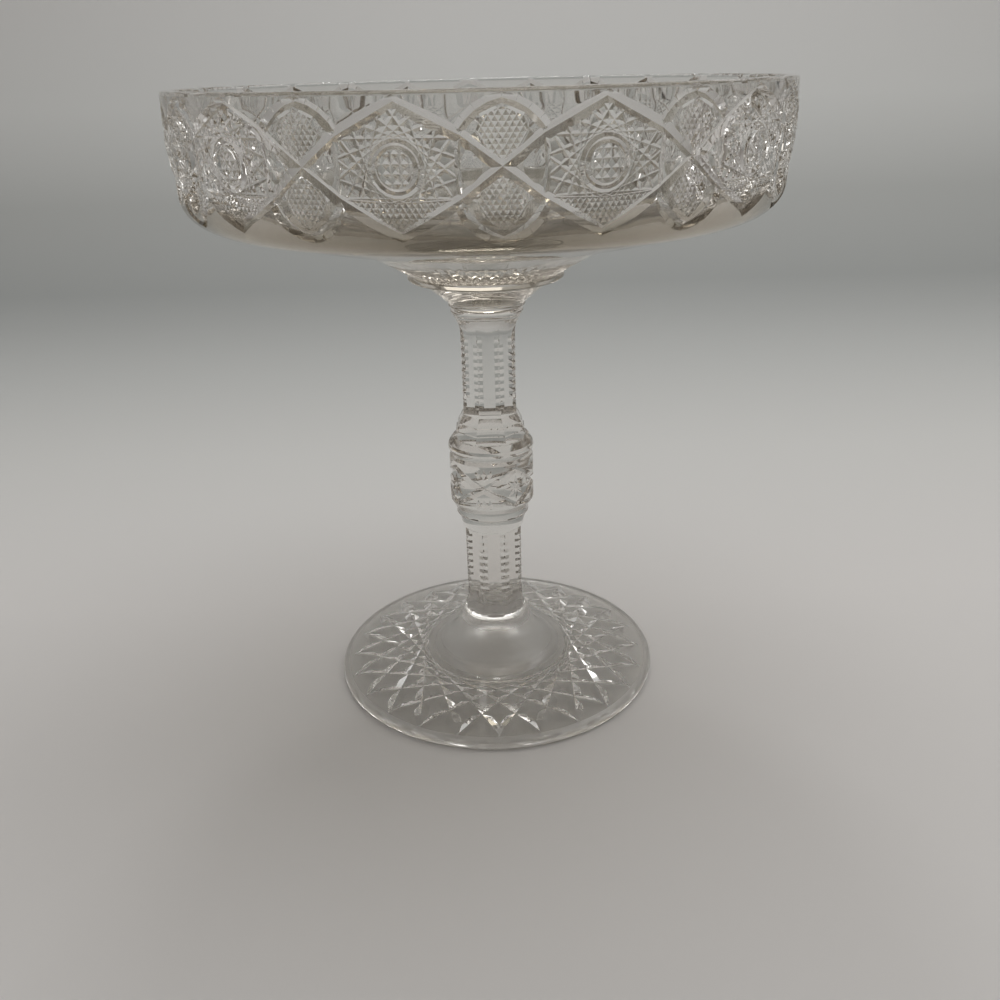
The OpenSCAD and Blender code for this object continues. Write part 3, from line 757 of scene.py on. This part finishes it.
finished(knop, "knop_glass", "knop", joints=[KNOP_LOW, KNOP_HIGH], joint_r=11.62)

# %% [markdown]
# ## The foot
# The foot is a plate that sweeps up into the stem. Twenty-four long cuts make a star under it,
# each a chord that passes by the plain middle. A slice of 7.5 degrees holds the star's pattern.

# %% Star under the foot
FOOT_R, EDGE_H, PLATE_RISE, SWEEP_POWER = 63.4, 4.2, 5.6, 10
HOLLOW, RECESS, RECESS_R = 5.0, 10.0, 20.0
REST_OUT, REST_IN, STAR_TIP_R, CHORD_R, POINTS = 61.8, 59.4, 58.5, 29.0, 24
STAR_CUT, STAR_T = (5.8, 1.45), 2.6
# Places along half a chord, from its middle to its tip, and the size of the cut there
CHORD_SHARES = ((-0.02, 0.45), (0.2, 0.5), (0.42, 0.95), (0.88, 1), (1, 0.3))
SLICE = pi / POINTS
facets = TURNS // POINTS // 2


def foot_top(r):
    """Height of the foot's upper face at a radius"""
    u = (FOOT_R - r) / (FOOT_R - FOOT_TOP_R)
    return EDGE_H + PLATE_RISE * u + (FOOT_H - EDGE_H - PLATE_RISE) * u ** SWEEP_POWER


def under_foot(co):
    """A flat point of the slice in its place in the hollow under the foot"""
    r = hypot(co.x, co.y)
    recess = RECESS * (1 + cos(pi * min(1, r / RECESS_R))) / 2
    return Vector((co.x, co.y, HOLLOW * (1 - (r / REST_IN) ** 2) + recess - co.z))


rim_points = [(REST_IN * cos(SLICE * s), REST_IN * sin(SLICE * s)) for s in curve(facets)]
star_cuts = []
for k in range(-5, 6):
    out = Vector((cos(2 * SLICE * k), sin(2 * SLICE * k)))
    along = Vector((-out.y, out.x)) * sqrt(STAR_TIP_R ** 2 - CHORD_R ** 2)
    for way in (-1, 1):
        mid = out * CHORD_R
        star_cuts += wheels([(*(mid + along * way * share), size) for share, size in CHORD_SHARES], *STAR_CUT)
slice_sides = [((0, 0), (0, -1)), ((0, 0), (-sin(SLICE), cos(SLICE)))]
slice_sides += [(a, (cos(SLICE * (i + 0.5) / facets), sin(SLICE * (i + 0.5) / facets)))
                for i, a in enumerate(rim_points[:-1])]
star = carved(prism([(0, 0)] + rim_points, -STAR_T, 0), star_cuts)
face_only(star, slice_sides, 0.1 - STAR_T)
for s in curve(facets)[1:-1]:
    scored(star, (-sin(SLICE * s), cos(SLICE * s), 0), [0])
scored(star, (1, 0, 0), [1.2 * k for k in range(1, 18)] + [24, 29, 34, 39, 44, 49, 54])
star = ringed(star, POINTS, under_foot)

# %% Foot
EDGE_IN, EDGE_FALL = 59.6, 2.4
edge_round = FOOT_R - REST_OUT
outside = [(REST_IN, 0), (REST_OUT, 0)]
outside += arc((REST_OUT, edge_round), (edge_round, edge_round), -90, 0, 8)[1:]
outside += arc((EDGE_IN, foot_top(EDGE_IN) - EDGE_FALL), (FOOT_R - EDGE_IN, EDGE_FALL), 0, 84, 10)
outside += [(r, foot_top(r)) for r in (58, 54, 50, 46, 42, 38, 34, 31, 28, 25.5, 23.5, 21.5, 20, 18.5,
                                       17.3, 16.2, 15.2, 14.4, 13.6, 12.9, 12.5, FOOT_TOP_R)]
outside += [(0, FOOT_H)]
foot = merged([star, spun([outside], TURNS)])
finished(foot, "foot_glass_painted_light", "foot", foot_glass_painted_light, joints=[FOOT_H])

# %% [markdown]
# ## Floor, backdrop and light
# A pale sheet sweeps up behind the bowl, with painted shade where it bends up and painted light higher on it.
# Glass is drawn by what it bends into view, so the room matters more than the lamps: a bright soft box above,
# a pale sheet behind, and a darker, warmer room on the camera's side that gives the glass its dark edges.

# %% Sweep
FLOOR_GAP, SWEEP_W, BEND_Y, BEND_R, SWEEP_TOP = 0.0001, 3.6, 0.55, 0.5, 1.6
sheet = bmesh.new()
profile = [(-1.4, 0), (-0.8, 0), (0, 0), (BEND_Y, 0)]
profile += [(BEND_Y + BEND_R * sin(pi / 2 * s), BEND_R - BEND_R * cos(pi / 2 * s)) for s in curve(16)[1:]]
profile += [(BEND_Y + BEND_R, SWEEP_TOP)]
line = [sheet.verts.new((-SWEEP_W / 2, y, z - FLOOR_GAP)) for y, z in profile]
edges = [sheet.edges.new(pair) for pair in zip(line, line[1:])]
far_side = bmesh.ops.extrude_edge_only(sheet, edges=edges)["geom"]
bmesh.ops.translate(sheet, vec=(SWEEP_W, 0, 0), verts=only_verts(far_side))
bmesh.ops.recalc_face_normals(sheet, faces=sheet.faces)
sweep_mesh = bpy.data.meshes.new("sweep")
for face in sheet.faces:
    face.smooth = True
sheet.to_mesh(sweep_mesh)
sheet.free()
sweep = bpy.data.objects.new("sweep", sweep_mesh)
bpy.context.scene.collection.objects.link(sweep)

# %% Paper
# Tone of the paper by its distance to the back plus its height, in metres: painted shade towards the bend and
# painted light up the backdrop
PAPER_LIGHT_AND_SHADE = [(-0.3, (0.70, 0.685, 0.67)), (-0.1, (0.70, 0.685, 0.67)), (0.05, (0.73, 0.715, 0.70)),
         (0.24, (0.66, 0.66, 0.645)), (0.42, (0.55, 0.56, 0.55)), (0.7, (0.40, 0.415, 0.41)),
         (0.92, (0.51, 0.525, 0.515)), (1.13, (0.76, 0.775, 0.765)), (1.35, (0.88, 0.885, 0.88)),
         (1.7, (0.9, 0.9, 0.89)), (2.6, (0.9, 0.9, 0.89))]
near, far = PAPER_LIGHT_AND_SHADE[0][0], PAPER_LIGHT_AND_SHADE[-1][0]
paper, tree, out = node_tree("paper")
split = add_node(tree, "SeparateXYZ", {"Vector": add_node(tree, "TexCoord", {}).outputs["Object"]})
along = add_node(tree, "Math", {0: split.outputs["Y"], 1: split.outputs["Z"]})
ramp = add_node(tree, "ValToRGB", {"Fac": ranged(tree, along.outputs["Value"], near, far, kind="LINEAR")})
for i, (distance, tone) in enumerate(PAPER_LIGHT_AND_SHADE):
    share = (distance - near) / (far - near)
    stop = ramp.color_ramp.elements[i] if i < 1 else ramp.color_ramp.elements.new(share)
    stop.position, stop.color = share, (*tone, 1)
shader = add_node(tree, "BsdfPrincipled", {
    "Base Color": ramp.outputs["Color"], "Roughness": 0.9, "Specular IOR Level": 0.1})
tree.links.new(shader.outputs["BSDF"], out.inputs["Surface"])
sweep_mesh.materials.append(paper)

# %% Room
ROOM_LOW, ROOM_HIGH, ROOM_FRONT = (0.34, 0.31, 0.285, 1), (0.95, 0.955, 0.95, 1), (0.2, 0.175, 0.155, 1)
ROOM_STRENGTH = 0.68
world = bpy.data.worlds.new("room")
world.use_nodes = True
bpy.context.scene.world = world
tree = world.node_tree
tree.nodes.clear()
split = add_node(tree, "SeparateXYZ", {"Vector": add_node(tree, "TexCoord", {}).outputs["Generated"]})
ramp = add_node(tree, "ValToRGB", {"Fac": ranged(tree, split.outputs["Z"], -0.1, 0.9, kind="LINEAR")})
ramp.color_ramp.elements[0].color = ROOM_LOW
ramp.color_ramp.elements[1].color = ROOM_HIGH
lift = add_node(tree, "Math", {0: split.outputs["Z"], 1: -0.6}, operation="MULTIPLY")
depth = add_node(tree, "Math", {0: lift.outputs["Value"], 1: split.outputs["Y"]}, operation="SUBTRACT")
front = ranged(tree, depth.outputs["Value"], -0.5, 0.35)
shade = blend(tree, front, ramp.outputs["Color"], ROOM_FRONT)
back = add_node(tree, "Background", {"Color": shade, "Strength": ROOM_STRENGTH})
out = tree.nodes.new("ShaderNodeOutputWorld")
tree.links.new(back.outputs["Background"], out.inputs["Surface"])

# %% Soft boxes
SOFT_PLACE, SOFT_TURN = (0.3, 0.25, 1.25), (radians(-12), radians(13), 0)
SMALL_PLACE, SMALL_AIM = (-0.04, 0.85, 1.35), Vector((-0.04, 0.85, 1.25))


def soft_light(name, size, energy, color, place, turn):
    """A rectangular soft box"""
    lamp = bpy.data.lights.new(name, "AREA")
    lamp.shape = "RECTANGLE"
    lamp.size, lamp.size_y = size
    lamp.energy, lamp.color = energy, color
    obj = bpy.data.objects.new(name, lamp)
    obj.location, obj.rotation_euler = place, turn
    bpy.context.scene.collection.objects.link(obj)


soft_light("soft_box", (1.4, 1.0), 5.8, (1.0, 0.985, 0.97), SOFT_PLACE, SOFT_TURN)
soft_light("small_box", (0.24, 0.1), 1.6, (1, 1, 1), SMALL_PLACE, SMALL_AIM.to_track_quat("Z", "Y").to_euler())

# %% Light paths
# Cut glass bends a ray many times before it leaves, so the paths are long
scene = bpy.context.scene
scene.view_settings.view_transform = "Standard"
scene.cycles.max_bounces = 40
scene.cycles.transmission_bounces = 32
scene.cycles.glossy_bounces = 24
scene.cycles.transparent_max_bounces = 32
